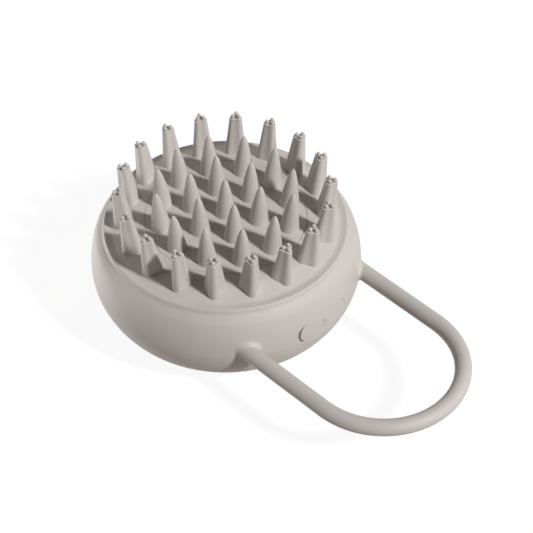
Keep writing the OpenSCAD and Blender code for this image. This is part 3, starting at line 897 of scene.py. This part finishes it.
def makeComb(around):
    s = combSettings
    top, ball = s["shaft"], s["ball"]
    steps = [(-s["root"], 0.0)] + [(h, 0.0) for h in np.linspace(0, top - 0.75, 13)]
    steps += [(top - depth, grow) for depth, grow in s["collar"]]
    rings = []
    for h, grow in steps:
        radius = combSection(np.clip(h / top, 0, 1), grow, around)
        height = np.full(len(around), h)
        rings.append(np.stack([radius * np.cos(around), radius * np.sin(around), height], -1))
    parts = [loft(rings)]
    ballProfile = [(0, s["length"])]
    ballProfile += [(ball * math.sin(u), s["length"] - ball * (1 - math.cos(u)))
                    for u in np.linspace(0.2, 1.75, 9)]
    ballProfile += [(ball * 0.97, top - 0.2), (0, top - 0.3)]
    for k in range(3):
        a = k * 2 * math.pi / 3
        place = (s["ballOut"] * math.cos(a), s["ballOut"] * math.sin(a), 0)
        parts.append(placed(revolve(ballProfile, 24), np.eye(3), place))
    return parts


def makeBullet():
    s = bulletSettings
    share = np.linspace(0, 1, 25) ** 2
    side = [(float(s["base"] * t ** s["power"]), float(s["length"] * (1 - t))) for t in share]
    return revolve([(0, -s["root"]), (s["base"] + 0.02, -s["root"])] + side[::-1], s["columns"])


def standOnDome(radius, degrees):
    # turns a prong outward at its place on the domed face
    a, lean = math.radians(degrees), math.asin(radius / bodySettings["fanRadius"])
    turn = Matrix.Rotation(a, 3, "Z") @ Matrix.Rotation(lean, 3, "Y")
    place = (radius * math.cos(a), radius * math.sin(a), float(dome(radius)))
    return np.array(turn), place


def makeProngs():
    comb = makeComb(np.arange(combSettings["columns"]) * 2 * math.pi / combSettings["columns"])
    parts = []
    pitch = 360 / combSettings["count"]
    for k in range(combSettings["count"]):
        turn, place = standOnDome(combSettings["ring"], pitch * (k + 0.5))
        parts += [placed(part, turn, place) for part in comb]
    buildPiece("outerProngs", parts, "silicone", "body", ["outer_prongs"], 50)
    bullet = makeBullet()
    parts = []
    for radius, count, first in bulletSettings["rings"]:
        for k in range(count):
            turn, place = standOnDome(radius, first + 360 / count * k)
            parts.append(placed(bullet, turn, place))
    buildPiece("innerProngs", parts, "silicone", "body", ["inner_prongs"], 50)


makeProngs()
print("prongs made")


# ---- charging flap

def cutAway(piece, parts, sharpAngle):
    # takes solids out of a piece and bakes the cut into its mesh
    cutter = newObject("cutter", parts)
    cut = piece.modifiers.new("cut", "BOOLEAN")
    cut.operation = "DIFFERENCE"
    cut.solver = "EXACT"
    cut.object = cutter
    graph = bpy.context.evaluated_depsgraph_get()
    mesh = bpy.data.meshes.new_from_object(piece.evaluated_get(graph))
    piece.modifiers.clear()
    piece.data = mesh
    bpy.data.objects.remove(cutter)
    mesh.set_sharp_from_angle(angle=math.radians(sharpAngle))


def makeFlap():
    p = flapSettings
    halfLength = (p["end"] - p["start"]) / 2
    centre = np.array([(p["end"] + p["start"]) / 2, p["height"]])
    around = np.arange(160) * 2 * math.pi / 160
    e = p["edge"]

    def ringAt(grow, depth):
        flat = centre + stadiumPoint(around, halfLength + grow, p["radius"] + grow)
        return np.column_stack([sleeveSurface(flat[:, 0], flat[:, 1]) - depth, flat])

    def centred(scale, depth):
        flat = stadiumPoint(around, halfLength - e, p["radius"] - e) * scale + centre
        return np.column_stack([sleeveSurface(flat[:, 0], flat[:, 1]) - depth, flat])

    rings = [centred(k, 0.0) for k in np.linspace(0.02, 1, 26)]
    rings += [ringAt(-e * (1 - math.sin(u)), e * (1 - math.cos(u))) for u in np.linspace(0.2, math.pi / 2, 5)]
    rings += [ringAt(0, p["thickness"] * 0.6), ringAt(0, p["thickness"])]
    rings += [centred(k, p["thickness"]) for k in (0.9, 0.5, 0.02)]
    flap = buildPiece("chargingFlap", [loft(rings), makePlug()], "silicone", "flap", ["charging_flap"])
    cutAway(flap, markStrokes(), 35)
    return flap


def markStrokes():
    # two round-ended strokes, the usual sign for charging
    p = flapSettings
    width, depth = p["strokeWidth"], p["strokeDepth"]
    around = np.arange(24) * 2 * math.pi / 24
    parts = []
    for start, end in p["strokes"]:
        start, end = np.array(start), np.array(end)
        length = np.linalg.norm(end - start)
        along = (end - start) / length
        flat = stadiumPoint(around, (length + width) / 2, width / 2)
        flat = (start + end) / 2 + flat[:, :1] * along + flat[:, 1:] * np.array([-along[1], along[0]])
        surface = sleeveSurface(flat[:, 0], flat[:, 1])
        parts.append(loft([np.column_stack([surface - depth, flat]), np.column_stack([surface + 1, flat])]))
    return parts


def makePlug():
    # the tongue on the flap's inside that fills the socket's mouth
    outerX = bodySettings["radius"] - flapSettings["thickness"] + 0.2
    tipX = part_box("charging_flap")[0].x / mm
    halfLength, radius = flapSettings["plug"]
    around = np.arange(48) * 2 * math.pi / 48
    rings = []
    for x, grow in ((outerX, 0.25), (outerX - 0.4, 0.0), (tipX + 0.2, -0.05), (tipX, -0.25)):
        flat = stadiumPoint(around, halfLength + grow, radius + grow) + [0, flapSettings["height"]]
        rings.append(np.column_stack([np.full(len(around), x), flat]))
    return loft(rings)


makeFlap()
print("flap made")


# ---- underside

baseSettings = {
    "restRadius": 32.0,
    "edge": [(33.1, 0.36, 0.3), (33.5, 1.18, 0.0)],  # radius, height and rounding of its outer corners
    "holeRadius": 12.2,
    "nubs": 76,
    "nubRing": 33.35,
    "nubRadius": 0.36,
    "nubHeight": 0.62,
    "columns": 304,
    "pipeRadius": 1.8,
    "pipeOut": 20.0,
}


def makeBasePad():
    s = baseSettings
    low, top = [(s["holeRadius"], 0, 0.3), (s["restRadius"], 0, 0.4)], s["edge"][-1][1]
    profile = roundedPath(low + s["edge"] + [(s["holeRadius"], top, 0.0)], 5)
    parts = [revolve([tuple(p) for p in profile], s["columns"])]
    r = s["nubRadius"]
    half = [(r * math.sin(u), r * math.cos(u)) for u in np.linspace(0.3, 2.8, 9)]
    nub = revolve([(0, r)] + half + [(0, -r)], 16)
    for k in range(s["nubs"]):
        a = 2 * math.pi * k / s["nubs"]
        place = (s["nubRing"] * math.cos(a), s["nubRing"] * math.sin(a), s["nubHeight"])
        parts.append(placed(nub, np.eye(3), place))
    pad = buildPiece("basePad", parts, "silicone", "body", ["base_pad"])
    window = revolve([(0, -1), (s["pipeRadius"], -1), (s["pipeRadius"], 3), (0, 3)], 40)
    cutAway(pad, [placed(window, np.eye(3), (0, s["pipeOut"], 0))], 38)


buttonSettings = {
    "gap": 1.2,  # between the button and the pad round it
    "edge": 0.9,
    "dish": 0.16,
    "dishRadius": 9.6,
    "flangeLow": 2.38,  # above the button's face
    "flangeThickness": 0.7,
    "stemRadius": 1.5,
    "signRadius": 2.9,
    "signThickness": 0.3,
    "signGap": 62,  # degrees left open at the top of the ring
}


def sweep(path, radius, sides=16):
    # a round bar with round ends along a flat path, its ends closed
    path = np.array(path, float)
    along = np.gradient(path, axis=0)
    along /= np.linalg.norm(along, axis=1)[:, None]
    angles = np.arange(sides) * 2 * math.pi / sides
    rings = []
    sections = [(0, math.sin(u), -math.cos(u)) for u in (0.3, 0.9)]
    sections += [(k, 1, 0) for k in range(len(path))]
    sections += [(len(path) - 1, math.sin(u), math.cos(u)) for u in (0.9, 0.3)]
    for k, swell, shift in sections:
        side = np.array([-along[k][1], along[k][0], 0])
        centre = path[k] + along[k] * radius * shift
        rings.append([centre + radius * swell * (math.cos(a) * side + math.sin(a) * np.array([0, 0, 1]))
                      for a in angles])
    return loft(rings)


def makeButton():
    s = buttonSettings
    low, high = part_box("power_button")
    face, top, rim = low.z / mm, high.z / mm, high.x / mm
    outer = baseSettings["holeRadius"] - s["gap"]
    flangeLow = face + s["flangeLow"]
    flangeTop = flangeLow + s["flangeThickness"]
    wide, stem = s["dishRadius"], s["stemRadius"]
    dish = [(r, face + s["dish"] * (1 - (r / wide) ** 2)) for r in np.linspace(0, wide, 9)]
    edge = [(outer - s["edge"] * (1 - math.sin(u)), face + s["edge"] * (1 - math.cos(u)))
            for u in np.linspace(0, math.pi / 2, 8)]
    back = [(outer, flangeLow), (rim, flangeLow), (rim, flangeTop), (stem, flangeTop), (stem, top), (0, top)]
    signLevel = face + s["dish"] - 0.05
    gap = math.radians(s["signGap"] / 2)
    arc = [(s["signRadius"] * math.sin(a), s["signRadius"] * math.cos(a), signLevel)
           for a in np.linspace(gap, 2 * math.pi - gap, 40)]
    bar = [(0, y, signLevel) for y in np.linspace(1.0, s["signRadius"] + 0.6, 6)]
    parts = [revolve(dish + edge + back, 128)]
    parts += [sweep(line, s["signThickness"]) for line in (arc, bar)]
    buildPiece("powerButton", parts, "silicone", "button", ["power_button"])


makeBasePad()
makeButton()
print("underside made")
